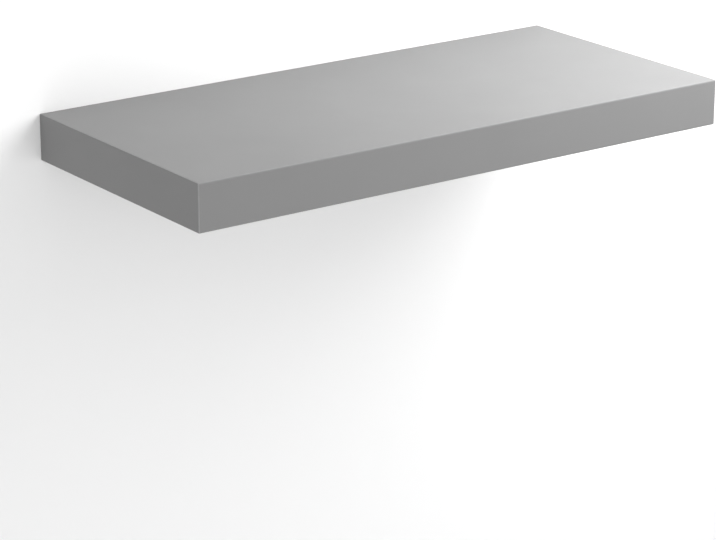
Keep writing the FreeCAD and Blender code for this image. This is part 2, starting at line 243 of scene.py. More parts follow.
material, tree, shader, place = new_finish("pressed_hardboard", IOR=1.5)
squeezed = add_node(
    tree,
    "ShaderNodeMapping",
    {"Vector": place, "Scale": [per_metre(size) for size in HARDBOARD_FIBRE_MM]},
)
fibres = add_node(
    tree, "ShaderNodeTexNoise", {"Vector": squeezed.outputs["Vector"], "Scale": 1.0, "Detail": 5.0}
)
colour = add_node(
    tree,
    "ShaderNodeMixRGB",
    {"Fac": fibres.outputs["Fac"], "Color1": linear(HARDBOARD_DARK), "Color2": linear(HARDBOARD_BROWN)},
)
end_finish(
    tree,
    shader,
    colour.outputs["Color"],
    gloss=fibres.outputs["Fac"],
    roughness=HARDBOARD_ROUGHNESS,
    relief=fibres.outputs["Fac"],
    depth_mm=HARDBOARD_FIBRE_DEPTH_MM,
)
finishes["hdf_panel"] = material
print(material.name)

# %% [markdown]
# Chipboard flakes.
# The battens and ribs are chipboard: flakes of wood glued under pressure. On a sawn face every flake is cut
# through, so the eye sees pale and brown slivers of all sizes, each with its own fine grain. Voronoi cells
# squeezed in height make the flakes, once large and once small, and a noise bends them so that no edge is
# ruled.

# %% Chipboard flakes
CHIP_PALE = "#D9BC88"
CHIP_BROWN = "#A87C4B"
LARGE_CHIP_MM = (5.0, 5.0, 1.0)
SMALL_CHIP_MM = (1.7, 1.7, 0.5)
CHIP_GRAIN_MM = (4.0, 4.0, 0.15)
CHIP_BEND_MM = 6
CHIP_BEND_BY_MM = 2
SMALL_CHIP_SHARE = 0.45
GRAIN_SHARE = 0.3
CHIP_TONES = (0.25, 0.7)  # the mixed tone that is all brown, and the one that is all pale

material, tree, shader, place = new_finish("sawn_chipboard", IOR=1.5)
wander = add_node(
    tree, "ShaderNodeTexNoise", {"Vector": place, "Scale": per_metre(CHIP_BEND_MM), "Detail": 2.0}
)
bent = add_node(
    tree,
    "ShaderNodeMixRGB",
    {"Fac": CHIP_BEND_BY_MM * MM, "Color1": place, "Color2": wander.outputs["Color"]},
    blend_type="ADD",
)
squeezed = {}
for pattern, size_mm in (("large", LARGE_CHIP_MM), ("small", SMALL_CHIP_MM), ("grain", CHIP_GRAIN_MM)):
    scale = [per_metre(side) for side in size_mm]
    mapping = add_node(tree, "ShaderNodeMapping", {"Vector": bent.outputs["Color"], "Scale": scale})
    squeezed[pattern] = mapping.outputs["Vector"]
large = add_node(tree, "ShaderNodeTexVoronoi", {"Vector": squeezed["large"], "Scale": 1.0})
small = add_node(tree, "ShaderNodeTexVoronoi", {"Vector": squeezed["small"], "Scale": 1.0})
grain = add_node(tree, "ShaderNodeTexNoise", {"Vector": squeezed["grain"], "Scale": 1.0, "Detail": 3.0})
mixed = add_node(
    tree,
    "ShaderNodeMixRGB",
    {"Fac": SMALL_CHIP_SHARE, "Color1": large.outputs["Color"], "Color2": small.outputs["Color"]},
)
grained = add_node(
    tree,
    "ShaderNodeMixRGB",
    {"Fac": GRAIN_SHARE, "Color1": mixed.outputs["Color"], "Color2": grain.outputs["Color"]},
)
tone = add_node(
    tree,
    "ShaderNodeMapRange",
    {"Value": grained.outputs["Color"], "From Min": CHIP_TONES[0], "From Max": CHIP_TONES[1]},
)
wood = add_node(
    tree,
    "ShaderNodeMixRGB",
    {"Fac": tone.outputs["Result"], "Color1": linear(CHIP_BROWN), "Color2": linear(CHIP_PALE)},
)
print(len(squeezed), "patterns in", material.name)

# %% [markdown]
# Gaps between the flakes.
# Where flakes lie loosely, small dark holes are left between them. Dark lines round every cell would look
# like a stone wall, so the gaps open only in a few spots, which a slow noise picks.

# %% Chipboard gaps
CHIP_HOLE = "#664A2E"
CHIP_GAP = 0.07  # of a large flake
CHIP_DEPTH_MM = 0.12
CHIP_ROUGHNESS = (0.9, 0.7)
LOOSE_SPOT_MM = 6
LOOSE_SPOTS = (0.62, 0.52)  # the noise where gaps are open, and where they are shut

edges = add_node(
    tree,
    "ShaderNodeTexVoronoi",
    {"Vector": squeezed["large"], "Scale": 1.0},
    feature="DISTANCE_TO_EDGE",
)
gap = add_node(tree, "ShaderNodeMapRange", {"Value": edges.outputs["Distance"], "From Max": CHIP_GAP})
spots = add_node(tree, "ShaderNodeTexNoise", {"Vector": place, "Scale": per_metre(LOOSE_SPOT_MM)})
tight = add_node(
    tree,
    "ShaderNodeMapRange",
    {"Value": spots.outputs["Fac"], "From Min": LOOSE_SPOTS[0], "From Max": LOOSE_SPOTS[1]},
)
filled = add_node(
    tree, "ShaderNodeMath", {0: gap.outputs["Result"], 1: tight.outputs["Result"]}, operation="MAXIMUM"
)
colour = add_node(
    tree,
    "ShaderNodeMixRGB",
    {"Fac": filled.outputs["Value"], "Color1": linear(CHIP_HOLE), "Color2": wood.outputs["Color"]},
)
end_finish(
    tree,
    shader,
    colour.outputs["Color"],
    gloss=tone.outputs["Result"],
    roughness=CHIP_ROUGHNESS,
    relief=filled.outputs["Value"],
    depth_mm=CHIP_DEPTH_MM,
)
finishes["chipboard"] = material
print(material.name)

# %% [markdown]
# Kraft paper.
# The honeycomb core is brown kraft paper, made of long fibres that were never bleached. It is matt, a little
# mottled and full of fine lines. Two noises are enough: a slow one for the mottle and a stretched one for the
# fibres.

# %% Kraft paper
KRAFT_BROWN = "#B78F60"
KRAFT_DARK = "#94703F"
KRAFT_FIBRE_MM = (2.0, 2.0, 0.3)
KRAFT_MOTTLE_MM = 15
KRAFT_DEPTH_MM = 0.02
KRAFT_ROUGHNESS = (0.8, 0.95)
MOTTLE_SHARE = 0.5

material, tree, shader, place = new_finish("unbleached_kraft_paper", IOR=1.5)
squeezed = add_node(
    tree, "ShaderNodeMapping", {"Vector": place, "Scale": [per_metre(size) for size in KRAFT_FIBRE_MM]}
)
fibres = add_node(
    tree, "ShaderNodeTexNoise", {"Vector": squeezed.outputs["Vector"], "Scale": 1.0, "Detail": 4.0}
)
mottle = add_node(
    tree, "ShaderNodeTexNoise", {"Vector": place, "Scale": per_metre(KRAFT_MOTTLE_MM), "Detail": 2.0}
)
tone = add_node(
    tree,
    "ShaderNodeMixRGB",
    {"Fac": MOTTLE_SHARE, "Color1": fibres.outputs["Fac"], "Color2": mottle.outputs["Fac"]},
)
colour = add_node(
    tree,
    "ShaderNodeMixRGB",
    {"Fac": tone.outputs["Color"], "Color1": linear(KRAFT_DARK), "Color2": linear(KRAFT_BROWN)},
)
end_finish(
    tree,
    shader,
    colour.outputs["Color"],
    gloss=mottle.outputs["Fac"],
    roughness=KRAFT_ROUGHNESS,
    relief=fibres.outputs["Fac"],
    depth_mm=KRAFT_DEPTH_MM,
)
finishes["kraft_paper"] = material
print(material.name)

# %% [markdown]
# Zinc plated steel.
# Rail, rods and welds are steel with a zinc coat. Rolling leaves faint lines along the rail, drawing leaves
# them along the rods, and the bath leaves clouds where the coat is a little duller. Staples are cut from
# galvanised wire. All four are the same metal, so one function makes them and takes the size of the lines
# along each axis.

# %% Zinc
ZINC_BRIGHT = "#AEB3B7"
ZINC_DULL = "#8D9399"
ZINC_CLOUD_MM = 25
ZINC_LINE_DEPTH_MM = 0.006


def zinc_finish(name, line_mm, roughness):
    """Plated steel: bright metal with clouds in its tint and fine lines in its gloss."""
    material, tree, shader, place = new_finish(name, Metallic=1.0)
    clouds = add_node(
        tree, "ShaderNodeTexNoise", {"Vector": place, "Scale": per_metre(ZINC_CLOUD_MM), "Detail": 4.0}
    )
    stretched = add_node(
        tree, "ShaderNodeMapping", {"Vector": place, "Scale": [per_metre(size) for size in line_mm]}
    )
    lines = add_node(
        tree, "ShaderNodeTexNoise", {"Vector": stretched.outputs["Vector"], "Scale": 1.0, "Detail": 4.0}
    )
    colour = add_node(
        tree,
        "ShaderNodeMixRGB",
        {"Fac": clouds.outputs["Fac"], "Color1": linear(ZINC_DULL), "Color2": linear(ZINC_BRIGHT)},
    )
    end_finish(
        tree,
        shader,
        colour.outputs["Color"],
        gloss=lines.outputs["Fac"],
        roughness=roughness,
        relief=lines.outputs["Fac"],
        depth_mm=ZINC_LINE_DEPTH_MM,
    )
    return material


finishes["zinc_steel"] = zinc_finish(
    "rolled_zinc_plated_steel", line_mm=(60, 0.5, 0.5), roughness=(0.28, 0.45)
)
rod_finish = zinc_finish("drawn_zinc_plated_steel", line_mm=(0.5, 60, 0.5), roughness=(0.22, 0.38))
finishes["weld_steel"] = zinc_finish("zinc_plated_weld", line_mm=(1.5, 1.5, 1.5), roughness=(0.35, 0.55))
finishes["staple_wire"] = zinc_finish(
    "galvanised_staple_wire", line_mm=(0.3, 0.3, 3.0), roughness=(0.35, 0.5)
)
print(finishes["zinc_steel"].name, rod_finish.name, finishes["weld_steel"].name)

# %% [markdown]
# Turned brass.
# The two threaded inserts are turned brass. A lathe tool leaves fine rings round the axis, and brass in a
# drawer goes a little brown in places. The rings come from a wave texture. Folding the place with its
# absolute value puts both inserts on top of each other, so one pattern is centred on the two of them.

# %% Brass
BRASS_BRIGHT = "#D2B065"
BRASS_BROWN = "#A9833F"
BRASS_RING_MM = 0.35
BRASS_RING_DEPTH_MM = 0.004
BRASS_RING_WOBBLE = 0.6
BRASS_TARNISH_MM = 5
BRASS_ROUGHNESS = (0.22, 0.36)
WAVE_PERIOD = math.tau / 20  # the distance between the rings of a wave texture at scale 1

insert_low, insert_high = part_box("right_lock_insert")
insert_centre = (insert_low + insert_high) / 2
ring_centre = (-abs(insert_centre.x), -abs(insert_centre.y), 0.0)

material, tree, shader, place = new_finish("turned_brass", Metallic=1.0)
folded = add_node(tree, "ShaderNodeVectorMath", {0: place}, operation="ABSOLUTE")
centred = add_node(
    tree, "ShaderNodeMapping", {"Vector": folded.outputs["Vector"], "Location": ring_centre}
)
rings = add_node(
    tree,
    "ShaderNodeTexWave",
    {
        "Vector": centred.outputs["Vector"],
        "Scale": WAVE_PERIOD * per_metre(BRASS_RING_MM),
        "Distortion": BRASS_RING_WOBBLE,
    },
    wave_type="RINGS",
    rings_direction="Z",
)
tarnish = add_node(
    tree, "ShaderNodeTexNoise", {"Vector": place, "Scale": per_metre(BRASS_TARNISH_MM), "Detail": 4.0}
)
colour = add_node(
    tree,
    "ShaderNodeMixRGB",
    {"Fac": tarnish.outputs["Fac"], "Color1": linear(BRASS_BROWN), "Color2": linear(BRASS_BRIGHT)},
)
end_finish(
    tree,
    shader,
    colour.outputs["Color"],
    gloss=rings.outputs["Fac"],
    roughness=BRASS_ROUGHNESS,
    relief=rings.outputs["Fac"],
    depth_mm=BRASS_RING_DEPTH_MM,
)
finishes["brass"] = material
print(material.name)

# %% [markdown]
# Blackened steel.
# Set screws are hardened and blackened in hot salt, then oiled. The eye sees a dark metal with a soft shine
# that is uneven where the oil has dried, so both tint and roughness follow one noise.

# %% Blackened steel
BLACK_OXIDE = "#26262A"
BLACK_OXIDE_WORN = "#46464A"
BLACK_CLOUD_MM = 1.5
BLACK_DEPTH_MM = 0.004
BLACK_ROUGHNESS = (0.3, 0.5)

material, tree, shader, place = new_finish("blackened_steel", Metallic=1.0)
clouds = add_node(
    tree, "ShaderNodeTexNoise", {"Vector": place, "Scale": per_metre(BLACK_CLOUD_MM), "Detail": 4.0}
)
colour = add_node(
    tree,
    "ShaderNodeMixRGB",
    {"Fac": clouds.outputs["Fac"], "Color1": linear(BLACK_OXIDE), "Color2": linear(BLACK_OXIDE_WORN)},
)
end_finish(
    tree,
    shader,
    colour.outputs["Color"],
    gloss=clouds.outputs["Fac"],
    roughness=BLACK_ROUGHNESS,
    relief=clouds.outputs["Fac"],
    depth_mm=BLACK_DEPTH_MM,
)
finishes["black_steel"] = material
print(material.name)

# %% [markdown]
# Finishes on the CAD pieces.
# Every CAD piece names its material slot, so most of the work is one loop. The rods share a slot with the
# rail but were drawn, not rolled, and get their own finish afterwards.

# %% Put the finishes on
for name, node in nodes.items():
    node.data.materials[0] = finishes[slot_of[name]]
for side in ("left", "right"):
    nodes[f"{side}_support_rod"].data.materials[0] = rod_finish
print(len({node.data.materials[0].name for node in nodes.values()}), "finishes on the CAD pieces")

# %% [markdown]
# Modelling as by hand.
# New pieces start from a primitive and are shaped in edit mode. The mouse work of picking, cutting and
# tidying up becomes a few small helpers: edges and faces are picked by where they are, because nobody can
# click on them here.

# %% Helpers for new pieces
SEAM = 0.001 * MM  # points closer than this are one point
SLIVER = 0.003 * MM  # faces thinner than this are dissolved
SMOOTH_ANGLE = math.radians(32)


def select_only(piece):
    """Makes this piece the only selected one, and the active one."""
    bpy.ops.object.select_all(action="DESELECT")
    piece.select_set(True)
    bpy.context.view_layer.objects.active = piece


def pick(piece, kind, test):
    """In edit mode, selects the vertices, edges or faces that pass a test."""
    bpy.ops.mesh.select_mode(type=kind)
    bpy.ops.mesh.select_all(action="DESELECT")
    mesh = bmesh.from_edit_mesh(piece.data)
    for element in {"VERT": mesh.verts, "EDGE": mesh.edges, "FACE": mesh.faces}[kind]:
        element.select = test(element)
    mesh.select_flush_mode()
    bmesh.update_edit_mesh(piece.data)


def merge_and_face_out():
    """In edit mode, merges doubles and points the faces outwards."""
    bpy.ops.mesh.select_all(action="SELECT")
    bpy.ops.mesh.remove_doubles(threshold=SEAM)
    bpy.ops.mesh.normals_make_consistent(inside=False)


def apply_modifier(piece, kind, **settings):
    """Adds a modifier with its settings and applies it."""
    select_only(piece)
    modifier = piece.modifiers.new(kind.lower(), kind)
    for name, value in settings.items():
        setattr(modifier, name, value)
    bpy.ops.object.modifier_apply(modifier=modifier.name)


def combine(piece, tool, operation):
    """Applies a boolean between a piece and a tool, removes the tool and dissolves slivers along the cut."""
    apply_modifier(piece, "BOOLEAN", operation=operation, object=tool, solver="EXACT")
    bpy.data.objects.remove(tool)
    bpy.ops.object.mode_set(mode="EDIT")
    bpy.ops.mesh.select_all(action="SELECT")
    bpy.ops.mesh.dissolve_degenerate(threshold=SLIVER)
    bpy.ops.object.mode_set(mode="OBJECT")


print("shaping helpers ready")

# %% [markdown]
# Copies and dressing.
# What repeats is modelled once and copied, each copy with a mesh of its own. A finished piece gets smooth
# faces and its finish. It is then handed to the body that it moves with, and hides the CAD piece that it
# stands for.


# %% Helpers for finished pieces
def copied(piece, name, shift):
    """A copy with its own mesh, moved by shift."""
    select_only(piece)
    bpy.ops.object.duplicate()
    copy = bpy.context.object
    copy.name = name
    bpy.ops.transform.translate(value=shift)
    bpy.ops.object.transform_apply(location=True, rotation=False, scale=False)
    return copy


def dress(piece, body, slot, *replaced):
    """Gives a finished piece its smooth faces, finish and body, and hides the CAD nodes that it stands for.
    """
    select_only(piece)
    bpy.ops.object.shade_smooth_by_angle(angle=SMOOTH_ANGLE)
    apply_modifier(piece, "WEIGHTED_NORMAL", keep_sharp=True)  # large faces stay flat beside round edges
    piece.data.materials.clear()
    piece.data.materials.append(finishes[slot])
    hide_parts(*replaced)
    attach(piece, body)
    print(piece.name, len(piece.data.polygons), "faces on", body)


print("dressing helpers ready")

# %% [markdown]
# Foil wrap.
# One foil runs from the rear edge of the underside round the front to the rear edge of the top. Its two
# bends catch the light, so they are worth more faces than the CAD gave them. A box without its back and ends
# is the folded sheet, Bevel rounds the bends, Solidify gives the sheet its thickness inwards, and two drilled
# holes leave room for the inserts in the underside.

# %% Foil wrap
FOIL_MM = 0.4
BEND_RADIUS_MM = 1.5
BEND_SEGMENTS = 10
FLANGE_RADIUS_MM = 6.55
SEAT_GAP_MM = 0.1
ROUND_STEPS = 72


def block(name, low, high):
    """A cube that fills the box between two corners, left in edit mode."""
    bpy.ops.object.select_all(action="DESELECT")
    bpy.ops.mesh.primitive_cube_add(size=1, location=(0, 0, 0))
    piece = bpy.context.object
    piece.name = name
    bpy.ops.object.mode_set(mode="EDIT")
    bpy.ops.transform.resize(value=high - low)
    bpy.ops.transform.translate(value=(low + high) / 2)
    return piece


def is_open_side(face):
    """True for the back and the two ends, where the folded sheet is open."""
    return abs(face.normal.x) > 0.5 or face.normal.y > 0.5


def is_front_edge(edge):
    """True for an edge along X on the front of the shelf."""
    ends = [vertex.co for vertex in edge.verts]
    at_front = all(end.y < foil_low.y + SEAM for end in ends)
    return at_front and abs(ends[0].x - ends[1].x) > SEAM


foil_low, foil_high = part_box("decor_foil")
wrap = block("foil_wrap", foil_low, foil_high)
pick(wrap, "FACE", is_open_side)
bpy.ops.mesh.delete(type="FACE")
pick(wrap, "EDGE", is_front_edge)
bpy.ops.mesh.bevel(offset=BEND_RADIUS_MM * MM, segments=BEND_SEGMENTS)
bpy.ops.object.mode_set(mode="OBJECT")
apply_modifier(wrap, "SOLIDIFY", thickness=FOIL_MM * MM, offset=-1, use_even_offset=True)
for x in (insert_centre.x, -insert_centre.x):
    bpy.ops.object.select_all(action="DESELECT")
    bpy.ops.mesh.primitive_cylinder_add(
        vertices=ROUND_STEPS,
        radius=(FLANGE_RADIUS_MM + SEAT_GAP_MM) * MM,
        depth=4 * FOIL_MM * MM,
        location=(x, insert_centre.y, foil_low.z),
    )
    combine(wrap, bpy.context.object, "DIFFERENCE")
dress(wrap, "shelf", "grey_foil", "decor_foil")

# %% [markdown]
# End bands.
# A thin strip is glued on each end and its outer rim is rounded with a profile cutter, which draws the fine
# light line along the edges; the band's finish also paints that line lighter as a highlight. A block gets the
# round corners of the foil's bends first. Then every outer edge is bevelled but the one at the wall. The left
# band is the right one mirrored, and mirroring turns faces inside out, so its normals are recalculated.

# %% End bands
BAND_EDGE_MM = 1.05
BAND_EDGE_SEGMENTS = 8


def is_outer_rim(edge):
    """True for an edge round the outer face of the right band, apart from the one at the wall."""
    ends = [vertex.co for vertex in edge.verts]
    on_outer_face = all(end.x > band_high.x - SEAM for end in ends)
    return on_outer_face and any(end.y < band_high.y - SEAM for end in ends)


band_low, band_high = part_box("right_edge_band")
right_band = block("right_end_band", band_low, band_high)
pick(right_band, "EDGE", is_front_edge)
bpy.ops.mesh.bevel(offset=BEND_RADIUS_MM * MM, segments=BEND_SEGMENTS)
pick(right_band, "EDGE", is_outer_rim)
bpy.ops.mesh.bevel(offset=BAND_EDGE_MM * MM, segments=BAND_EDGE_SEGMENTS)
bpy.ops.object.mode_set(mode="OBJECT")

left_band = copied(right_band, "left_end_band", Vector((0, 0, 0)))
bpy.ops.object.mode_set(mode="EDIT")
bpy.ops.mesh.select_all(action="SELECT")
bpy.ops.transform.resize(value=(-1, 1, 1), center_override=(0, 0, 0))
merge_and_face_out()
bpy.ops.object.mode_set(mode="OBJECT")
for side, band in (("right", right_band), ("left", left_band)):
    dress(band, "shelf", "grey_foil", f"{side}_edge_band")
    # this finish paints a highlight on the rounded rim
    band.data.materials[0] = edge_band_finish

# %% [markdown]
# Drawing and turning.
# Round pieces come off a lathe: an outline goes once round an axis. By hand that is a single vertex extruded
# from point to point, and then Spin. The seam is merged and the normals recalculated at once, because Spin
# can leave a shape inside out.


# %% Helpers for turned pieces
def drawn_line(name, points):
    """Edges from point to point, left open in edit mode."""
    bpy.ops.object.select_all(action="DESELECT")
    bpy.ops.mesh.primitive_plane_add(size=MM, location=(0, 0, 0))
    piece = bpy.context.object
    piece.name = name
    bpy.ops.object.mode_set(mode="EDIT")
    bpy.ops.mesh.select_mode(type="VERT")
    bpy.ops.mesh.select_all(action="SELECT")
    bpy.ops.mesh.merge(type="CENTER")
    bpy.ops.transform.translate(value=points[0])
    for here, there in zip(points, points[1:]):
        bpy.ops.mesh.extrude_vertices_move(TRANSFORM_OT_translate={"value": there - here})
    return piece


def turned(name, outline, foot, axis, steps):
    """Spins an outline of (radius, height) in millimetres round an axis through foot.

    An outline that starts on the axis ends on it. Any other is closed to a ring."""
    points = [foot + Vector((radius * MM, 0, 0)) + axis * height * MM for radius, height in outline]
    if outline[0][0] > 0:
        points.append(points[0])
    piece = drawn_line(name, points)
    bpy.ops.mesh.select_all(action="SELECT")
    bpy.ops.mesh.spin(steps=steps, angle=math.tau, center=foot, axis=axis)
    merge_and_face_out()
    bpy.ops.object.mode_set(mode="OBJECT")
    return piece


print("turning helpers ready")

# %% [markdown]
# Weld beads.
# Each rod is welded to the rail all round its foot. A bead is a small swelling ring with ripples where the
# arc went forward in steps. Spin gives the ring, and fattening every third line of its outline gives the
# ripples.

# %% Weld beads
BEAD_LEG_MM = 2.5
BEAD_SWELL = 1.4  # 1 would be a flat slope, 2 a full quarter circle
BEAD_ARC_POINTS = 6
BEAD_STEPS = 120
RIPPLE_STEPS = 3
RIPPLE_MM = 0.12

rod_low, rod_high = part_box("right_support_rod")
rod_radius = (rod_high.x - rod_low.x) / 2
rail_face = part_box("wall_rail")[0].y
bead_foot = Vector(((rod_low.x + rod_high.x) / 2, rail_face, (rod_low.z + rod_high.z) / 2))
away_from_wall = Vector((0, -1, 0))

radius_mm = rod_radius / MM
bead_outline = [(radius_mm, 0)]
for i in range(BEAD_ARC_POINTS + 1):
    angle = math.pi / 2 * i / BEAD_ARC_POINTS
    reach = max(math.cos(angle), 0) ** (2 / BEAD_SWELL)
    rise = math.sin(angle) ** (2 / BEAD_SWELL)
    bead_outline.append((radius_mm + BEAD_LEG_MM * reach, BEAD_LEG_MM * rise))
right_bead = turned("right_weld_bead", bead_outline, bead_foot, away_from_wall, BEAD_STEPS)


def on_ripple(vertex):
    """True for the vertices of every third line across the swelling side of the bead."""
    spoke = vertex.co - bead_foot
    step = round(math.atan2(spoke.z, spoke.x) / math.tau * BEAD_STEPS)
    on_swell = spoke.y < -SEAM and math.hypot(spoke.x, spoke.z) > rod_radius + SEAM
    return on_swell and step % RIPPLE_STEPS == 0


bpy.ops.object.mode_set(mode="EDIT")
pick(right_bead, "VERT", on_ripple)
bpy.ops.transform.shrink_fatten(value=RIPPLE_MM * MM)
bpy.ops.object.mode_set(mode="OBJECT")

left_bead = copied(right_bead, "left_weld_bead", Vector((-2 * bead_foot.x, 0, 0)))
dress(right_bead, "bracket", "weld_steel", "rod_welds")
dress(left_bead, "bracket", "weld_steel", "rod_welds")

# %% [markdown]
# Screw thread.
# A thread is one tooth's outline that climbs by one pitch at every turn, which is what the Screw modifier
# does. The ends come out ragged, so Bisect trims them square and fills them. Its own threshold of a tenth of
# a millimetre is coarse beside a thread this fine and would leave the ends open, so it gets a smaller one.
# The same function serves twice: as the thread of a screw, and as the tap that cuts a thread into a bore.

# %% Threads
THREAD_PITCH_MM = 1.0
THREAD_STEPS = 36
EARLY_TURNS = 1.5  # below the lower trim
SPARE_TURNS = 2  # more than the trimmed rod has
TOOTH = ((0, 0.0), (0, 0.12), (1, 0.44), (1, 0.56), (0, 0.88), (0, 1.0))  # share of depth, share of pitch


def threaded_rod(name, root_mm, crest_mm, bottom, top, centre):
    """A solid threaded rod along Z, between two heights."""
    turns = math.ceil((top - bottom) / (THREAD_PITCH_MM * MM)) + SPARE_TURNS
    outline = [
        Vector((root_mm + (crest_mm - root_mm) * depth, 0, THREAD_PITCH_MM * (rise - EARLY_TURNS))) * MM
        for depth, rise in TOOTH
    ]
    rod = drawn_line(name, outline)
    bpy.ops.object.mode_set(mode="OBJECT")
    apply_modifier(
        rod,
        "SCREW",
        screw_offset=THREAD_PITCH_MM * MM,
        iterations=turns,
        steps=THREAD_STEPS,
        render_steps=THREAD_STEPS,
        use_merge_vertices=True,
        merge_threshold=SEAM,
    )
    bpy.ops.object.mode_set(mode="EDIT")
    bpy.ops.mesh.select_all(action="SELECT")
    bpy.ops.transform.translate(value=(centre.x, centre.y, bottom))
    for height, cut in ((bottom, {"clear_inner": True}), (top, {"clear_outer": True})):
        bpy.ops.mesh.select_all(action="SELECT")
        bpy.ops.mesh.bisect(
            plane_co=(0, 0, height), plane_no=(0, 0, 1), use_fill=True, threshold=SEAM, **cut
        )
    merge_and_face_out()
    bpy.ops.object.mode_set(mode="OBJECT")
    return rod


print("thread helpers ready")

# %% [markdown]
# Brass inserts.
# From below, each lock shows as a brass ring flush with the foil. It is the flange of an insert that is
# driven into the rib, with a chamfered rim and a countersunk mouth. The body is turned from its outline and
# then tapped with the threaded rod.

# %% Inserts
FLANGE_THICK_MM = 1.2
FLANGE_CHAMFER_MM = 0.2
BODY_RADIUS_MM = 4.55
BORE_RADIUS_MM = 3.15
TAP_CREST_MM = 3.65
TAP_ROOT_MM = 3.05
MOUTH_CHAMFER_MM = 0.4
UP = Vector((0, 0, 1))

insert_foot = Vector((insert_centre.x, insert_centre.y, insert_low.z))
insert_tall = (insert_high.z - insert_low.z) / MM
insert_outline = [
    (BORE_RADIUS_MM + MOUTH_CHAMFER_MM, 0),
    (FLANGE_RADIUS_MM - FLANGE_CHAMFER_MM, 0),
    (FLANGE_RADIUS_MM, FLANGE_CHAMFER_MM),
    (FLANGE_RADIUS_MM, FLANGE_THICK_MM),
    (BODY_RADIUS_MM, FLANGE_THICK_MM),
    (BODY_RADIUS_MM, insert_tall),
    (BORE_RADIUS_MM, insert_tall),
    (BORE_RADIUS_MM, MOUTH_CHAMFER_MM),
]
right_insert = turned("right_brass_insert", insert_outline, insert_foot, UP, ROUND_STEPS)
tap = threaded_rod(
    "tap", TAP_ROOT_MM, TAP_CREST_MM, insert_low.z - MM, insert_high.z + MM, insert_foot
)
combine(right_insert, tap, "DIFFERENCE")
left_insert = copied(right_insert, "left_brass_insert", Vector((-2 * insert_centre.x, 0, 0)))
dress(right_insert, "shelf", "brass", "right_lock_insert")
dress(left_insert, "shelf", "brass", "left_lock_insert")

# %% [markdown]
# Lock screws.
# A set screw has no head: a thread from end to end, a hexagon socket below for the key, and a dog point above
# that presses on the rod. The blank is turned with its chamfers and point. What the blank and a threaded rod
# have in common is the screw, and a six-sided prism then takes the socket out.

# %% Lock screws
SCREW_RADIUS_MM = 3.0
SCREW_CREST_MM = 2.98
SCREW_ROOT_MM = 2.42
SCREW_CHAMFER_MM = 0.6
POINT_RADIUS_MM = 2.0
POINT_LENGTH_MM = 1.0
POINT_CHAMFER_MM = 0.2
SOCKET_FLATS_MM = 3.0
SOCKET_DEEP_MM = 4.0

screw_low, screw_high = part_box("right_lock_screw")
screw_foot = Vector(((screw_low.x + screw_high.x) / 2, (screw_low.y + screw_high.y) / 2, screw_low.z))
screw_tall = (screw_high.z - screw_low.z) / MM
shoulder = screw_tall - POINT_LENGTH_MM
blank_outline = [
    (0, 0),
    (SCREW_RADIUS_MM - SCREW_CHAMFER_MM, 0),
    (SCREW_RADIUS_MM, SCREW_CHAMFER_MM),
    (SCREW_RADIUS_MM, shoulder - SCREW_CHAMFER_MM),
    (POINT_RADIUS_MM, shoulder),
    (POINT_RADIUS_MM, screw_tall - POINT_CHAMFER_MM),
    (POINT_RADIUS_MM - POINT_CHAMFER_MM, screw_tall),
    (0, screw_tall),
]
right_screw = turned("right_set_screw", blank_outline, screw_foot, UP, ROUND_STEPS)
thread = threaded_rod(
    "thread", SCREW_ROOT_MM, SCREW_CREST_MM, screw_low.z - MM, screw_high.z + MM, screw_foot
)
combine(right_screw, thread, "INTERSECT")

bpy.ops.object.select_all(action="DESELECT")
bpy.ops.mesh.primitive_cylinder_add(
    vertices=6,
    radius=SOCKET_FLATS_MM / math.sqrt(3) * MM,  # to the corners of the hexagon
    depth=2 * SOCKET_DEEP_MM * MM,
    location=screw_foot,
)
combine(right_screw, bpy.context.object, "DIFFERENCE")
heights = [vertex.co.z / MM for vertex in right_screw.data.vertices]
print("set screw from", round(min(heights), 2), "to", round(max(heights), 2), "mm")
left_screw = copied(right_screw, "left_set_screw", Vector((-2 * screw_foot.x, 0, 0)))
dress(right_screw, "right_lock", "black_steel", "right_lock_screw")
dress(left_screw, "left_lock", "black_steel", "left_lock_screw")

# %% [markdown]
# Wall and floor.
# The shelf needs a wall to throw its shadow on, and a pale floor some way below. Both are stage, not part of
# the object. They are painted on one side only: seen from behind, a card lets the eye and the light through,
# so that the back and the underside of the shelf can be looked at too. The floor gives some light of its own,
# as a pale floor under studio lamps would.

# %% Stage
WALL_WIDTH = 40.0
WALL_TOP = 20.0
WALL_GAP = 0.3 * MM
FLOOR_Z = -1.5
FLOOR_SIZE = 60.0
WALL_WHITE = "#F4F4F4"
FLOOR_WHITE = "#ECECEC"
FLOOR_GLOW = 0.4
PAINT_ROUGHNESS = 0.9


def one_sided_paint(name, hex_colour, glow):
    """Matt paint on the front of a card, which may give light of its own. Its back can't be seen."""
    material, tree, shader, _ = new_finish(
        name,
        Base_Color=linear(hex_colour),
        Roughness=PAINT_ROUGHNESS,
        Emission_Color=linear("#FFFFFF"),
        Emission_Strength=glow,
    )
    clear = add_node(tree, "ShaderNodeBsdfTransparent")
    side = add_node(tree, "ShaderNodeNewGeometry")
    choice = add_node(
        tree,
        "ShaderNodeMixShader",
        {0: side.outputs["Backfacing"], 1: shader.outputs["BSDF"], 2: clear.outputs["BSDF"]},
    )
    tree.links.new(choice.outputs["Shader"], tree.nodes["Material Output"].inputs["Surface"])
    return material


def stage_card(name, width, height, centre, turn, material):
    """A flat card that blocks no light."""
    bpy.ops.object.select_all(action="DESELECT")
    bpy.ops.mesh.primitive_plane_add(size=1, location=centre, rotation=turn)
    card = bpy.context.object
    card.name = name
    card.scale = (width, height, 1)
    bpy.ops.object.transform_apply(location=True, rotation=True, scale=True)
    card.data.materials.append(material)
    card.visible_shadow = False
    print(name, width, "by", height, "m")


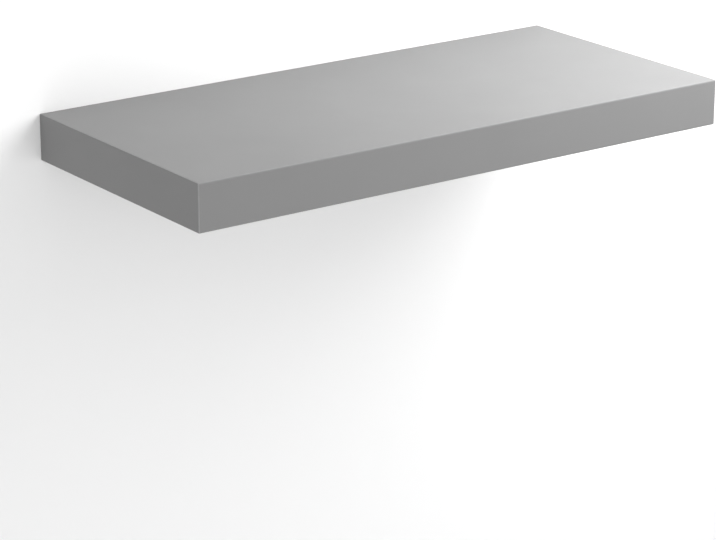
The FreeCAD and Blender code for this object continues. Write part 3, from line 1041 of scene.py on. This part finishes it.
upright = (math.pi / 2, 0, 0)
wall_paint = one_sided_paint("white_wall_paint", WALL_WHITE, 0.0)
wall_centre = (0, WALL_GAP, (WALL_TOP + FLOOR_Z) / 2)
stage_card("studio_wall", WALL_WIDTH, WALL_TOP - FLOOR_Z, wall_centre, upright, wall_paint)
floor_paint = one_sided_paint("pale_floor_paint", FLOOR_WHITE, FLOOR_GLOW)
stage_card("studio_floor", FLOOR_SIZE, FLOOR_SIZE, (0, 0, FLOOR_Z), (0, 0, 0), floor_paint)

# %% [markdown]
# Lights.
# The top of the shelf gets brighter towards the right and the wall has a soft shadow at the lower left, so
# the key is a paper globe close by, above the right end. A globe shines all round, where a softbox so near
# would draw a hard line on the wall. Large weak softboxes in front, at the left and low at the right fill the
# shadows, and white air lights the rest. One more softbox behind the wall shows the back to anyone who walks
# round.

# %% Lights
AIR_STRENGTH = 0.5
SHELF_MIDDLE = Vector((0, -0.115, 0))
# azimuth and elevation in degrees, distance and diameter in metres, power in watts
KEY_GLOBE = (56, 40, 0.62, 0.66, 24.5)
SOFTBOXES = {
    "front_fill_softbox": (0, 10, 1.6, 1.2, 4.2),
    "left_fill_softbox": (-45, 10, 1.6, 1.2, 2.4),
    "low_right_softbox": (50, -10, 1.6, 1.2, 1.4),
    "rear_softbox": (172, -5, 1.6, 1.4, 13.0),
}


def direction(azimuth, elevation):
    """From the shelf outwards: azimuth 0 is straight away from the wall, 90 along it to the right."""
    turn, lift = math.radians(azimuth), math.radians(elevation)
    return Vector(
        (math.sin(turn) * math.cos(lift), -math.cos(turn) * math.cos(lift), math.sin(lift))
    )


def hang_lamp(name, kind, azimuth, elevation, distance, power):
    """A lamp that faces the middle of the shelf and can't be seen itself."""
    lamp = bpy.data.lights.new(name, kind)
    lamp.energy = power
    holder = bpy.data.objects.new(name, lamp)
    bpy.context.scene.collection.objects.link(holder)
    outwards = direction(azimuth, elevation)
    holder.location = SHELF_MIDDLE + outwards * distance
    holder.rotation_euler = (-outwards).to_track_quat("-Z", "Y").to_euler()
    holder.visible_camera = False
    print(name, [round(x, 2) for x in holder.location])
    return lamp


azimuth, elevation, distance, diameter, power = KEY_GLOBE
globe = hang_lamp("key_globe", "POINT", azimuth, elevation, distance, power)
globe.shadow_soft_size = diameter / 2
for name, (azimuth, elevation, distance, diameter, power) in SOFTBOXES.items():
    softbox = hang_lamp(name, "AREA", azimuth, elevation, distance, power)
    softbox.shape = "DISK"
    softbox.size = diameter

world = bpy.data.worlds.new("studio_air")
world.use_nodes = True
air = world.node_tree.nodes["Background"]
air.inputs["Color"].default_value = linear("#FFFFFF")
air.inputs["Strength"].default_value = AIR_STRENGTH
bpy.context.scene.world = world
bpy.context.scene.view_settings.view_transform = "Standard"

# %% [markdown]
# Camera.
# The photograph was taken from the left, a little above the shelf, through a long lens that keeps the edges
# nearly parallel. The focal length is written in pixels of the photograph's width, and turned into a lens for
# Blender's sensor.

# %% Camera
PHOTO_WIDTH = 716
FOCAL_PIXELS = 2775
SENSOR_MM = 36
CAMERA_PLACE = Vector((-1.2641, -1.8427, 0.5997))
CAMERA_AZIMUTH = -35.607
CAMERA_ELEVATION = 18.758

lens = bpy.data.cameras.new("photo_camera")
lens.sensor_width = SENSOR_MM
lens.lens = FOCAL_PIXELS / PHOTO_WIDTH * SENSOR_MM
camera = bpy.data.objects.new("photo_camera", lens)
bpy.context.scene.collection.objects.link(camera)
camera.location = CAMERA_PLACE
looking = -direction(CAMERA_AZIMUTH, CAMERA_ELEVATION)
camera.rotation_euler = looking.to_track_quat("-Z", "Y").to_euler()
bpy.context.scene.camera = camera
print("lens", round(lens.lens, 1), "mm")
